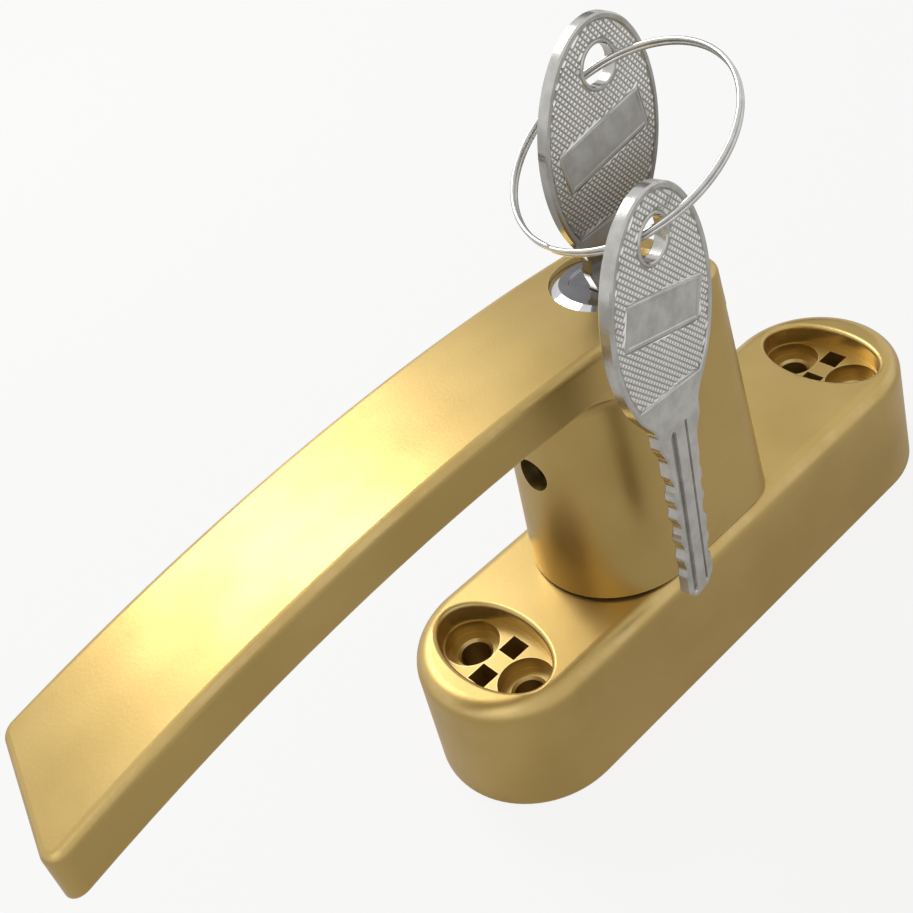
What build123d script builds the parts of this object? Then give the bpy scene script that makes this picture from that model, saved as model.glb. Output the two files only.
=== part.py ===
from build123d import *
from math import acos, atan, atan2, cos, degrees, pi, radians, sin, tan
import os

# Frame: X along the base, the lever points to -X, Y across, Z out of the window frame.
# Origin: the turning axis of the handle where it meets the back face of the base. Millimetres.

# Base housing
BASE_LENGTH = 100.0
BASE_WIDTH = 30.0
BASE_HEIGHT = 20.0
BASE_DRAFT = 3.4
BASE_TOP_FILLET = 2.8
ROOF = 3.0
CAVITY_HALF_LENGTH = 29.5
CAVITY_HALF_WIDTH = 12.6
CAVITY_HEIGHT = 9.2
GEAR_POCKET_RADIUS = 12.3

# Screw recess near each end of the base
RECESS_X = 37.8
RECESS_HALF_LENGTH = 6.0
RECESS_HALF_WIDTH = 10.3
RECESS_FLOOR = 16.4
RECESS_LIP = 0.7
SCREW_Y = 5.8
SCREW_HOLE_RADIUS = 2.3
SCREW_SEAT_RADIUS = 4.2
SCREW_SEAT_FLOOR = 14.2
CLIP_HOLE = 3.2
CLIP_OFFSET = 3.1
CLIP_HOLE_DEPTH = 6.0

# Small screws
DRIVER_SLOT_WIDTH = 0.6
PLATE_SCREW_RADIUS = 1.2
PLATE_SCREW_HEAD_RADIUS = 2.4
PLATE_SCREW_HEAD_HEIGHT = 1.2
PLATE_SCREW_TOP = 6.8
INDEX_SCREW_RADIUS = 0.9
INDEX_SCREW_HEAD_RADIUS = 1.7
INDEX_SCREW_HEAD_HEIGHT = 0.6
INDEX_SCREW_TOP = 19.0
PINION_SCREW_RADIUS = 1.6
PINION_SCREW_HEAD_RADIUS = 3.6
PINION_SCREW_HEAD_BOTTOM = 2.1
PINION_SCREW_TOP = 13.5
CAM_SCREW_RADIUS = 1.2
CAM_SCREW_HEAD_RADIUS = 2.4
CAM_SCREW_HEAD_HEIGHT = 1.6

# Back plate, index plate and the bearing of the hub
PLATE_THICKNESS = 1.5
PLATE_HALF_LENGTH = 34.0
PLATE_HALF_WIDTH = 12.9
PLATE_SCREW_X = 31.2
PLATE_SCREW_Y = 8.6
NECK_RADIUS = 6.0
NECK_BOTTOM = 12.0
BUSH_RADIUS = 7.1
INDEX_PLATE_RADIUS = 12.2
INDEX_PLATE_BOTTOM = 15.6
INDEX_SCREW_CIRCLE = 10.4
CLIP_GROOVE_BOTTOM = 13.9
CLIP_GROOVE_TOP = 14.9
CLIP_GROOVE_DEPTH = 0.55
HUB_CLIP_RADIUS = 8.2
CLIP_LUG_RADIUS = 0.75
WASHER_RADIUS = 10.0
WASHER_BOTTOM = 15.0
WASHER_THICKNESS = 0.5

# Rack and pinion drive
MODULE = 1.0
PINION_TEETH = 14
PRESSURE_ANGLE = radians(20)
ADDENDUM = 0.8
DEDENDUM = 1.0
BACKLASH = 0.08
PINION_BOTTOM = 4.3
PINION_TOP = 9.0
PINION_COLLAR_RADIUS = 5.6
SPINDLE_WIDTH = 6.0
SPINDLE_TOP = 26.3
RACK_BOTTOM = 1.6
RACK_TOP = 9.1
RACK_OUTER = 12.5
RACK_TAIL_X = -14.0
RACK_HEAD_X = 28.5
RACK_HEAD_LENGTH = 9.0
RACK_HEAD_INNER = 3.5
DRIVE_SOCKET = 5.2
DRIVE_SOCKET_X = 24.0
DRIVE_SOCKET_Y = 8.0
DRIVE_SOCKET_DEPTH = 6.4
DRIVE_TRAVEL = 11.0
DRIVE_SLOT_PLAY = 0.8

# Lever and hub casting
HUB_BOTTOM = 20.5
HUB_FRONT_X = -11.5
HUB_BACK_BOTTOM_X = 10.2
HUB_BACK_TOP_X = 8.6
HUB_HALF_BOTTOM = 13.1
HUB_HALF_TOP = 10.4
HUB_CORNER = 5.5
BACK_PROUD = 0.03
LEVER_END_X = -98.6
LEVER_END_SKEW = 5.0
LEVER_HALF_END = 9.7
LEVER_THICKNESS = 6.2
LEVER_ARC_RADIUS = 286.0
LEVER_APEX_X = -30.0
LEVER_APEX_Z = 62.0
LEVER_END_CORNER = 2.2
LEVER_TOP_FILLET = 1.3
HUB_TOP = 57.0
FLARE_RADIUS = 3.5
FLARE_INSET = 0.12
DRAFT = (HUB_HALF_BOTTOM - HUB_HALF_TOP) / (LEVER_APEX_Z - HUB_BOTTOM)
BACK_DRAFT = (HUB_BACK_BOTTOM_X - HUB_BACK_TOP_X) / (LEVER_APEX_Z - HUB_BOTTOM)
SET_SCREW_Z = 41.5
SET_SCREW_RADIUS = 2.5
SET_SCREW_LENGTH = 8.0
SET_SCREW_SOCKET_RADIUS = 1.45
SET_SCREW_SOCKET_DEPTH = 3.0
HUB_POCKET_FRONT = -21.3
HUB_POCKET_BACK = -16.2
HUB_POCKET_HALF_WIDTH = 6.5
HUB_POCKET_TOP = 34.5

# Key lock, built along its own leaning axis
LOCK_X = -2.6
LOCK_LEAN = 8.5
FACE_RADIUS = 8.3
BARREL_RADIUS = 7.2
BARREL_BOTTOM = -25.2
PLUG_RADIUS = 4.95
PLUG_HEAD_RADIUS = 5.6
PLUG_BOTTOM = -26.2
TAIL_WIDTH = 5.0
TAIL_BOTTOM = -29.4
CAM_RADIUS = 7.1
CAM_TOP = -26.3
CAM_MEAN = -29.5
LOCK_BORE_BOTTOM = -32.9
WAFER_DEPTHS = (-5.0, -8.5, -12.0, -15.5, -19.0)
WAFER_LENGTH = 8.2
WAFER_WIDTH = 5.2
WAFER_THICKNESS = 1.0
WAFER_WINDOW_LENGTH = 6.9
WAFER_WINDOW_WIDTH = 2.3
PLUG_CLIP_RADIUS = 6.3
PLUG_CLIP_INNER = 4.4
PLUG_CLIP_BOTTOM = -25.95
PLUG_CLIP_TOP = -25.4

# Lock bolt and detent, both in the hub
BOLT_OFFSET = 6.2
BOLT_RADIUS = 1.5
BOLT_TRAVEL = 3.2
BOLT_HEAD_RADIUS = 1.95
BOLT_HEAD_LENGTH = 1.9
BOLT_HEAD_TIP_RADIUS = 0.9
BOLT_BORE_RADIUS = 2.1
BOLT_BORE_TOP = 36.0
BOLT_TIP = 20.7
BOLT_PLAY = 0.1
BOLT_BUSH_LENGTH = 2.0
BOLT_SPRING_RADIUS = 2.0
BOLT_SPRING_INNER = 1.6
CAM_PLAY = 0.35
DETENT_OFFSET = 6.6
DETENT_RADIUS = 1.5
DETENT_TOP = 31.0
DETENT_DIMPLE = 0.3
DETENT_SPRING_RADIUS = 1.45
DETENT_SPRING_INNER = 1.0

# Keys and their ring
BOW_WIDTH = 19.6
BOW_HEIGHT = 30.0
BOW_BOTTOM = 4.2
BOW_THICKNESS = 1.7
BOW_RIM = 1.5
LABEL_LENGTH = 14.6
LABEL_HEIGHT = 5.4
LABEL_SLANT = 17.0
NECK_WIDTH = 8.4
BLADE_WIDTH = 6.4
BLADE_THICKNESS = 1.7
BLADE_LENGTH = 24.4
BLADE_TIP_HALF_WIDTH = 1.4
BLADE_TIP_LENGTH = 1.6
WIDE_GROOVE = (1.6, 0.6)
NARROW_GROOVE = (-1.1, 0.25)
BLADE_GROOVE_DEPTH = 0.42
CUT_RADIUS = 2.2
CUT_DEPTHS = (0.5, 0.3, 0.6, 0.4, 0.25)
FIRST_CUT = 4.6
CUT_PITCH = 3.5
KEY_HOLE_RADIUS = 2.5
KEY_HOLE_Z = 28.2
RING_WIRE_RADIUS = 0.62
RING_IN_UPPER_HOLE = (0.6, 0.0, -0.5)
RING_IN_LOWER_HOLE = (0.0, 0.0, 0.6)
RING_WRAP = (-0.90, 0.0, -0.43)
SPARE_HOLE = (-15.0, -21.4, 80.5)
SPARE_YAW = 9.0
SPARE_LEAN = 3.0

FIT = 0.05


def rod(radius, low, high, x=0.0, y=0.0):
    """Upright cylinder between two heights."""
    return Pos(x, y, low) * Cylinder(radius, high - low, align=(Align.CENTER, Align.CENTER, Align.MIN))


def ring(outer, inner, low, high, x=0.0, y=0.0):
    """Upright ring between two heights."""
    return rod(outer, low, high, x, y) - rod(inner, low - 1, high + 1, x, y)


def block(x0, x1, y0, y1, z0, z1):
    """Box between three pairs of limits."""
    return Pos((x0 + x1) / 2, (y0 + y1) / 2, (z0 + z1) / 2) * Box(x1 - x0, y1 - y0, z1 - z0)


def top_surface(x):
    """Height of the lever's top face at a place along the lever."""
    return LEVER_APEX_Z - LEVER_ARC_RADIUS + (LEVER_ARC_RADIUS**2 - (x - LEVER_APEX_X) ** 2) ** 0.5


LEAN = radians(LOCK_LEAN)
LOCK_FACE = Vector(LOCK_X, 0, top_surface(LOCK_X))
LOCK_AXIS = Vector(sin(LEAN), 0, cos(LEAN))
LOCK_SEAT = Plane(origin=LOCK_FACE, x_dir=(cos(LEAN), 0, -sin(LEAN)), z_dir=LOCK_AXIS).location


def base_housing():
    """Die-cast shell, open at the back, with a screw recess near each end."""
    body = extrude(SlotOverall(BASE_LENGTH, BASE_WIDTH), BASE_HEIGHT, taper=BASE_DRAFT)
    rim = body.faces().sort_by(Axis.Z)[-1].edges()
    body = fillet(rim, BASE_TOP_FILLET)
    for side in (-1, 1):
        body -= Pos(side * RECESS_X, 0, RECESS_FLOOR) * extrude(
            Ellipse(RECESS_HALF_LENGTH, RECESS_HALF_WIDTH), BASE_HEIGHT)
    top = body.faces().sort_by(Axis.Z)[-1]
    body = fillet([edge for wire in top.inner_wires() for edge in wire.edges()], RECESS_LIP)
    for side in (-1, 1):
        body -= screw_seats(side)
    body -= block(-CAVITY_HALF_LENGTH, CAVITY_HALF_LENGTH, -CAVITY_HALF_WIDTH, CAVITY_HALF_WIDTH,
                  -1, CAVITY_HEIGHT)
    body -= rod(GEAR_POCKET_RADIUS, CAVITY_HEIGHT - 1, BASE_HEIGHT - ROOF)
    body -= block(-PLATE_HALF_LENGTH, PLATE_HALF_LENGTH, -PLATE_HALF_WIDTH, PLATE_HALF_WIDTH,
                  -1, PLATE_THICKNESS)
    body -= rod(BUSH_RADIUS, BASE_HEIGHT - ROOF - 1, BASE_HEIGHT + 1)
    for x, y in plate_screw_places():
        body -= rod(PLATE_SCREW_RADIUS + FIT, 0, PLATE_SCREW_TOP + 0.2, x, y)
    for x, y in index_screw_places():
        body -= rod(INDEX_SCREW_RADIUS, INDEX_PLATE_BOTTOM, INDEX_SCREW_TOP + 0.2, x, y)
    for x, y in bolt_places():
        body -= rod(BOLT_RADIUS + BOLT_PLAY, INDEX_PLATE_BOTTOM, BASE_HEIGHT + 1, x, y)
    for x, y in detent_places():
        body -= Pos(x, y, BASE_HEIGHT + DETENT_RADIUS - DETENT_DIMPLE) * Sphere(DETENT_RADIUS)
    return body


def screw_seats(side):
    """Screw seats, screw holes and cap clip holes of one recess, as the metal to take away."""
    x = side * RECESS_X
    outline = Pos(x, 0, SCREW_SEAT_FLOOR) * extrude(
        Ellipse(RECESS_HALF_LENGTH - 0.25, RECESS_HALF_WIDTH - 0.25), RECESS_FLOOR - SCREW_SEAT_FLOOR + 1.2)
    cut = None
    for y in (-SCREW_Y, SCREW_Y):
        seat = outline & rod(SCREW_SEAT_RADIUS, SCREW_SEAT_FLOOR, BASE_HEIGHT, x, y)
        hole = seat + rod(SCREW_HOLE_RADIUS, -1, BASE_HEIGHT, x, y)
        hole += Pos(x, y, SCREW_SEAT_FLOOR - 0.2) * Cone(SCREW_HOLE_RADIUS, SCREW_HOLE_RADIUS + 0.4, 0.4)
        cut = hole if cut is None else cut + hole
    for offset in (-CLIP_OFFSET, CLIP_OFFSET):
        cut += Pos(x + offset, 0, RECESS_FLOOR - CLIP_HOLE_DEPTH / 2 + 0.5) * Box(
            CLIP_HOLE, CLIP_HOLE, CLIP_HOLE_DEPTH + 1)
    return cut


def plate_screw_places():
    return [(sx * PLATE_SCREW_X, sy * PLATE_SCREW_Y) for sx in (-1, 1) for sy in (-1, 1)]


def index_screw_places():
    angles = [radians(a) for a in (0, 90, 180)]
    return [(INDEX_SCREW_CIRCLE * cos(a), INDEX_SCREW_CIRCLE * sin(a)) for a in angles]


def bolt_places():
    """The lock bolt's hole with the handle shut, and its hole a quarter turn on."""
    return [(-BOLT_OFFSET, -BOLT_OFFSET), (BOLT_OFFSET, -BOLT_OFFSET)]


def detent_places():
    return [(DETENT_OFFSET, DETENT_OFFSET), (-DETENT_OFFSET, DETENT_OFFSET)]


def back_plate():
    """Pressed steel plate with a slot behind each drive socket."""
    plate = block(-PLATE_HALF_LENGTH + FIT, PLATE_HALF_LENGTH - FIT, -PLATE_HALF_WIDTH + FIT,
                  PLATE_HALF_WIDTH - FIT, 0, PLATE_THICKNESS)
    slot_length = DRIVE_TRAVEL + DRIVE_SOCKET + DRIVE_SLOT_PLAY
    for side in (-1, 1):
        x = side * (DRIVE_SOCKET_X - DRIVE_TRAVEL / 2)
        plate -= Pos(x, side * DRIVE_SOCKET_Y, 0) * Box(slot_length, DRIVE_SOCKET + DRIVE_SLOT_PLAY, 4)
    for x, y in plate_screw_places():
        plate -= rod(PLATE_SCREW_RADIUS + 0.1, -1, 3, x, y)
        plate -= Pos(x, y, PLATE_THICKNESS / 2) * Cone(
            PLATE_SCREW_HEAD_RADIUS + 0.15, PLATE_SCREW_RADIUS + 0.1, PLATE_THICKNESS)
    return plate


def plate_screws():
    """Four countersunk screws that hold the back plate."""
    screws = []
    for x, y in plate_screw_places():
        screw = rod(PLATE_SCREW_RADIUS, 0, PLATE_SCREW_TOP, x, y)
        screw += Pos(x, y, PLATE_SCREW_HEAD_HEIGHT / 2 + 0.1) * Cone(
            PLATE_SCREW_HEAD_RADIUS, PLATE_SCREW_RADIUS, PLATE_SCREW_HEAD_HEIGHT)
        screws.append(screw - Pos(x, y, 0.1) * Box(DRIVER_SLOT_WIDTH, 2.6, 0.9))
    return Compound(children=[s.solid() for s in screws])


def neck_bush():
    return ring(BUSH_RADIUS, NECK_RADIUS + FIT, BASE_HEIGHT - ROOF, BASE_HEIGHT + 0.4)


def index_plate():
    """Hardened plate under the roof, with the holes that the lock bolt enters."""
    plate = ring(INDEX_PLATE_RADIUS, NECK_RADIUS + 0.3, INDEX_PLATE_BOTTOM, BASE_HEIGHT - ROOF)
    for x, y in bolt_places():
        plate -= rod(BOLT_RADIUS + BOLT_PLAY, 15, 18, x, y)
    for x, y in index_screw_places():
        plate -= rod(INDEX_SCREW_RADIUS + FIT, 15, 18, x, y)
        plate -= rod(INDEX_SCREW_HEAD_RADIUS + FIT, 15, INDEX_PLATE_BOTTOM + 0.7, x, y)
    return plate


def index_screws():
    screws = []
    for x, y in index_screw_places():
        low = INDEX_PLATE_BOTTOM + FIT
        screw = rod(INDEX_SCREW_RADIUS, low, INDEX_SCREW_TOP, x, y)
        screw += rod(INDEX_SCREW_HEAD_RADIUS, low, low + INDEX_SCREW_HEAD_HEIGHT, x, y)
        screws.append(screw - Pos(x, y, low) * Box(0.4, 2.4, 0.5))
    return Compound(children=[s.solid() for s in screws])


def open_clip(outer, inner, low, high):
    """Spring clip: a ring with a gap and two small lugs beside it."""
    clip = ring(outer, inner, low, high)
    clip -= block(0, outer + 2, -inner * 0.45, inner * 0.45, low - 1, high + 1)
    for side in (-1, 1):
        clip += rod(CLIP_LUG_RADIUS, low, high, inner * 0.98, side * inner * 0.67)
    return clip


def hub_circlip():
    return open_clip(HUB_CLIP_RADIUS, NECK_RADIUS - CLIP_GROOVE_DEPTH + FIT,
                     CLIP_GROOVE_BOTTOM + FIT, CLIP_GROOVE_TOP - FIT)


def thrust_washer():
    return ring(WASHER_RADIUS, NECK_RADIUS + 0.15, WASHER_BOTTOM, WASHER_BOTTOM + WASHER_THICKNESS)


def involute(radius, base_radius):
    angle = acos(min(1.0, base_radius / radius))
    return tan(angle) - angle


def drive_pinion():
    """Steel pinion with involute teeth, a collar above and a square bore."""
    pitch_radius = MODULE * PINION_TEETH / 2
    base_radius = pitch_radius * cos(PRESSURE_ANGLE)
    root_radius = pitch_radius - ADDENDUM - 0.25
    flank = [base_radius, pitch_radius, pitch_radius + 0.45, pitch_radius + ADDENDUM]
    half = pi / (2 * PINION_TEETH) - BACKLASH / (2 * pitch_radius) + involute(pitch_radius, base_radius)
    points = []
    for tooth in range(PINION_TEETH):
        middle = pi / 2 + tooth * 2 * pi / PINION_TEETH
        rising = [(r, middle - half + involute(r, base_radius)) for r in flank]
        falling = [(r, middle + half - involute(r, base_radius)) for r in reversed(flank)]
        root = [(root_radius, middle - half - 0.01)], [(root_radius, middle + half + 0.01)]
        for r, a in root[0] + rising + falling + root[1]:
            points.append((r * cos(a), r * sin(a)))
    outline = make_face(Polyline(*points, close=True))
    pinion = Pos(0, 0, PINION_BOTTOM) * extrude(outline, PINION_TOP - PINION_BOTTOM)
    pinion += rod(PINION_COLLAR_RADIUS, PINION_TOP, NECK_BOTTOM - 0.1)
    return pinion - Pos(0, 0, 10) * Box(SPINDLE_WIDTH + 0.02, SPINDLE_WIDTH + 0.02, 20)


def drive_spindle():
    spindle = block(-SPINDLE_WIDTH / 2, SPINDLE_WIDTH / 2, -SPINDLE_WIDTH / 2, SPINDLE_WIDTH / 2,
                    PINION_BOTTOM + 0.2, SPINDLE_TOP)
    spindle = chamfer(spindle.faces().sort_by(Axis.Z)[-1].edges(), 0.5)
    return spindle - rod(PINION_SCREW_RADIUS, 0, PINION_SCREW_TOP + 0.5)


def pinion_screw():
    screw = rod(PINION_SCREW_RADIUS, PINION_BOTTOM - 0.3, PINION_SCREW_TOP)
    screw += rod(PINION_SCREW_HEAD_RADIUS, PINION_SCREW_HEAD_BOTTOM, PINION_BOTTOM)
    return screw - Pos(0, 0, PINION_SCREW_HEAD_BOTTOM) * Box(0.8, 6.0, 1.4)


def drive_rack():
    """Toothed slide on the +Y side, with a square socket for the drive pin of the window's rod."""
    pitch = pi * MODULE
    pitch_line = MODULE * PINION_TEETH / 2
    root = pitch_line + DEDENDUM
    rack = block(RACK_TAIL_X, RACK_HEAD_X, root, RACK_OUTER, RACK_BOTTOM, RACK_TOP)
    rack += block(RACK_HEAD_X - RACK_HEAD_LENGTH, RACK_HEAD_X, RACK_HEAD_INNER, root, RACK_BOTTOM, RACK_TOP)
    half_tip = pitch / 4 - BACKLASH / 2 - ADDENDUM * tan(PRESSURE_ANGLE)
    half_root = pitch / 4 - BACKLASH / 2 + DEDENDUM * tan(PRESSURE_ANGLE)
    tip = pitch_line - ADDENDUM
    for index in range(-1, 5):
        x = (index + 0.5) * pitch
        tooth = make_face(Polyline((x - half_root, root + 0.1), (x - half_tip, tip), (x + half_tip, tip),
                                   (x + half_root, root + 0.1), close=True))
        rack += Pos(0, 0, RACK_BOTTOM) * extrude(tooth, RACK_TOP - RACK_BOTTOM)
    rack -= Pos(DRIVE_SOCKET_X, DRIVE_SOCKET_Y, RACK_BOTTOM + DRIVE_SOCKET_DEPTH / 2 - 0.5) * Box(
        DRIVE_SOCKET, DRIVE_SOCKET, DRIVE_SOCKET_DEPTH + 1)
    return rack


def hub_section(height, half_width, back_x, corner):
    """Plan of the hub: round in front, straight sides, rounded corners at the back."""
    plan = Rectangle(back_x - HUB_FRONT_X, 2 * half_width, align=(Align.MIN, Align.CENTER))
    plan = Pos(HUB_FRONT_X, 0) * plan
    corners = plan.vertices().sort_by(Axis.X)[-2:]
    plan = fillet(corners, corner)
    plan += Pos(HUB_FRONT_X, 0) * Circle(half_width)
    return (Pos(0, 0, height) * plan).face()


def lever_side_profile():
    """Side view of the lever as a curved strip, drawn in the XZ plane."""
    centre = (LEVER_APEX_X, LEVER_APEX_Z - LEVER_ARC_RADIUS)
    start, end = LEVER_END_X - 2, HUB_BACK_TOP_X + 6
    outer, inner = LEVER_ARC_RADIUS, LEVER_ARC_RADIUS - LEVER_THICKNESS

    def point(radius, x):
        return (x, centre[1] + (radius**2 - (x - centre[0]) ** 2) ** 0.5)

    middle = (start + end) / 2
    top = ThreePointArc(point(outer, start), point(outer, middle), point(outer, end))
    under = ThreePointArc(point(inner, end), point(inner, middle), point(inner, start))
    closing = [Line(point(outer, end), point(inner, end)), Line(point(inner, start), point(outer, start))]
    return make_face(Curve() + [top, closing[0], under, closing[1]])


def full_plan(z, grow):
    """Plan of the lever with the hub's rounded back end, at one height."""
    back = HUB_BACK_TOP_X + (LEVER_APEX_Z - z) * BACK_DRAFT + BACK_PROUD
    outline = Polyline((back, HUB_HALF_TOP + grow), (HUB_FRONT_X, HUB_HALF_TOP + grow),
                       (LEVER_END_X + LEVER_END_SKEW - grow, LEVER_HALF_END + grow),
                       (LEVER_END_X - grow, -LEVER_HALF_END - grow),
                       (HUB_FRONT_X, -HUB_HALF_TOP - grow), (back, -HUB_HALF_TOP - grow), close=True)
    plan = make_face(outline)
    plan = fillet(plan.vertices().sort_by(Axis.X)[:2], LEVER_END_CORNER)
    plan = fillet(plan.vertices().sort_by(Axis.X)[-2:], HUB_CORNER - 1)
    return (Pos(0, 0, z) * plan).face()


def drafted_sides():
    """The lever's drafted plan as a tall block."""
    heights = (45.0, LEVER_APEX_Z + 2)
    return loft([full_plan(z, (LEVER_APEX_Z - z) * DRAFT) for z in heights], ruled=True)


def lever_strip():
    """Curved bar of the lever, with drafted sides and rounded edges."""
    strip = drafted_sides() & extrude(Plane.XZ * lever_side_profile(), 20, both=True)
    curved = strip.faces().filter_by(GeomType.CYLINDER).sort_by(SortBy.AREA)[-2:].sort_by(Axis.Z)
    strip = fillet(curved[-1].edges(), LEVER_TOP_FILLET)
    return strip


def hub_block():
    """Drafted block of the hub. Its top is buried in the lever strip."""
    top = HUB_TOP - HUB_BOTTOM
    return loft([hub_section(HUB_BOTTOM, HUB_HALF_BOTTOM, HUB_BACK_BOTTOM_X, HUB_CORNER),
                 hub_section(HUB_TOP, HUB_HALF_BOTTOM - top * DRAFT, HUB_BACK_BOTTOM_X - top * BACK_DRAFT,
                             HUB_CORNER - 1)], ruled=True)


def hub_flare():
    """Concave blend from the hub's round front into the lever's underside."""
    def wall(z):
        return HUB_HALF_BOTTOM - (z - HUB_BOTTOM) * DRAFT

    tangent_z = LEVER_APEX_Z - LEVER_THICKNESS - 0.04
    low = tangent_z - FLARE_RADIUS
    outer = wall(low) + FLARE_RADIUS
    middle = FLARE_RADIUS * cos(pi / 4)
    arc = ThreePointArc((outer, tangent_z), (outer - middle, low + middle), (wall(low), low))
    rest = Polyline((wall(low), low), (6, low), (6, HUB_TOP), (outer, HUB_TOP), (outer, tangent_z))
    profile = Plane.XZ * make_face(Curve() + [arc, rest])
    flare = Pos(HUB_FRONT_X, 0, 0) * revolve(profile, Axis.Z)
    foot, head = wall(45) - FLARE_INSET, wall(60) - FLARE_INSET
    between_sides = make_face(Polyline((-foot, 45), (foot, 45), (head, 60), (-head, 60), close=True))
    return flare & Pos(HUB_FRONT_X + 2, 0, 0) * extrude(Plane.YZ * between_sides, -40)


def lever_casting():
    """Lever, hub and neck as one casting, with the seats of the lock, bolt, detent and spindle."""
    body = lever_strip() + hub_block() + hub_flare() + rod(NECK_RADIUS, NECK_BOTTOM, HUB_BOTTOM + 1)
    body -= ring(NECK_RADIUS + 1, NECK_RADIUS - CLIP_GROOVE_DEPTH, CLIP_GROOVE_BOTTOM, CLIP_GROOVE_TOP)
    bore = rod(BARREL_RADIUS + FIT, LOCK_BORE_BOTTOM, 5) + rod(FACE_RADIUS + FIT, -1.6, 5)
    body -= LOCK_SEAT * bore
    body -= block(-SPINDLE_WIDTH / 2, SPINDLE_WIDTH / 2, -SPINDLE_WIDTH / 2, SPINDLE_WIDTH / 2,
                  NECK_BOTTOM - 1, SPINDLE_TOP + 0.2)
    body -= rod(BOLT_BORE_RADIUS, HUB_BOTTOM - 1, BOLT_BORE_TOP, -BOLT_OFFSET, -BOLT_OFFSET)
    body -= rod(DETENT_RADIUS + 0.1, HUB_BOTTOM - 1, DETENT_TOP, DETENT_OFFSET, DETENT_OFFSET)
    body -= Pos(-22, 0, SET_SCREW_Z) * Rot(0, 90, 0) * Cylinder(SET_SCREW_RADIUS + 0.02, 24)
    body -= block(HUB_POCKET_FRONT, HUB_POCKET_BACK, -HUB_POCKET_HALF_WIDTH, HUB_POCKET_HALF_WIDTH,
                  HUB_BOTTOM - 1, HUB_POCKET_TOP)
    return body


def barrel_set_screw():
    """Socket set screw in the hub's front that holds the lock barrel."""
    tip_x = LOCK_X - (LOCK_FACE.Z - SET_SCREW_Z) * tan(LEAN) - BARREL_RADIUS / cos(LEAN) - 0.4
    screw = Pos(tip_x - SET_SCREW_LENGTH / 2, 0, SET_SCREW_Z) * Rot(0, 90, 0) * Cylinder(
        SET_SCREW_RADIUS, SET_SCREW_LENGTH)
    socket = extrude(RegularPolygon(SET_SCREW_SOCKET_RADIUS, 6), SET_SCREW_SOCKET_DEPTH)
    return screw - Pos(tip_x - SET_SCREW_LENGTH, 0, SET_SCREW_Z) * Rot(0, 90, 0) * socket


def detent_ball():
    return Pos(DETENT_OFFSET, DETENT_OFFSET, BASE_HEIGHT + 0.05 + DETENT_RADIUS) * Sphere(DETENT_RADIUS)


def detent_spring():
    ball_top = BASE_HEIGHT + 0.1 + 2 * DETENT_RADIUS
    return ring(DETENT_SPRING_RADIUS, DETENT_SPRING_INNER, ball_top, DETENT_TOP,
                DETENT_OFFSET, DETENT_OFFSET)


def cam_height(turn):
    """Height of the cam's slanted face above the bolt, for a turn of the plug in degrees."""
    slope = BOLT_TRAVEL / (2 * cos(pi / 4)) / bolt_reach()
    angle = cam_low_angle() + radians(turn)
    height = (SPINDLE_TOP + LOCK_FACE.Z) / 2
    for _ in range(6):
        local = (LOCK_SEAT.inverse() * Pos(-BOLT_OFFSET, -BOLT_OFFSET, height)).position
        face = CAM_MEAN - slope * (local.X * cos(angle) + local.Y * sin(angle))
        height += (face - local.Z) / cos(LEAN)
    return height


def bolt_reach():
    """Distance of the bolt from the lock's axis at the height of the cam."""
    axis_x = LOCK_X + CAM_MEAN * sin(LEAN)
    return ((axis_x + BOLT_OFFSET) ** 2 + BOLT_OFFSET**2) ** 0.5


def cam_low_angle():
    """Direction of the cam's lowest side at rest, an eighth turn past the side away from the bolt."""
    axis_x = LOCK_X + CAM_MEAN * sin(LEAN)
    return atan2(-BOLT_OFFSET, -BOLT_OFFSET - axis_x) - 3 * pi / 4


def lock_cam():
    """Round cam on the plug's tail, with a slanted face that presses the bolt down."""
    slope = BOLT_TRAVEL / (2 * cos(pi / 4)) / bolt_reach()
    body = rod(CAM_RADIUS, CAM_MEAN - 4, CAM_TOP)
    tilt = degrees(atan(slope))
    slanted = Rot(0, 0, degrees(cam_low_angle())) * Pos(0, 0, CAM_MEAN) * Rot(0, tilt, 0)
    body -= slanted * Pos(0, 0, -10) * Box(40, 40, 20)
    body -= block(-TAIL_WIDTH / 2, TAIL_WIDTH / 2, -TAIL_WIDTH / 2, TAIL_WIDTH / 2, -40, 0)
    body -= rod(2.6, -40, TAIL_BOTTOM)
    return LOCK_SEAT * body


def bolt_head():
    """Bottom and top of the bolt's head with the handle unlocked."""
    top = cam_height(0) - CAM_PLAY
    return top - BOLT_HEAD_LENGTH, top


def lock_bolt():
    """Headed pin that drops through the roof of the base when the key is turned."""
    low, top = bolt_head()
    taper = BOLT_HEAD_LENGTH - 1.0
    bolt = rod(BOLT_RADIUS, BOLT_TIP, top - 1.0, -BOLT_OFFSET, -BOLT_OFFSET)
    bolt += rod(BOLT_HEAD_RADIUS, low, top - taper, -BOLT_OFFSET, -BOLT_OFFSET)
    cone = Cone(BOLT_HEAD_RADIUS, BOLT_HEAD_TIP_RADIUS, taper)
    return bolt + Pos(-BOLT_OFFSET, -BOLT_OFFSET, top - taper / 2) * cone


def bolt_spring():
    return ring(BOLT_SPRING_RADIUS, BOLT_SPRING_INNER, HUB_BOTTOM + BOLT_BUSH_LENGTH + 0.2,
                bolt_head()[0] - FIT, -BOLT_OFFSET, -BOLT_OFFSET)


def bolt_bush():
    return ring(BOLT_BORE_RADIUS, BOLT_RADIUS + FIT, HUB_BOTTOM + 0.1, HUB_BOTTOM + 0.1 + BOLT_BUSH_LENGTH,
                -BOLT_OFFSET, -BOLT_OFFSET)


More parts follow.
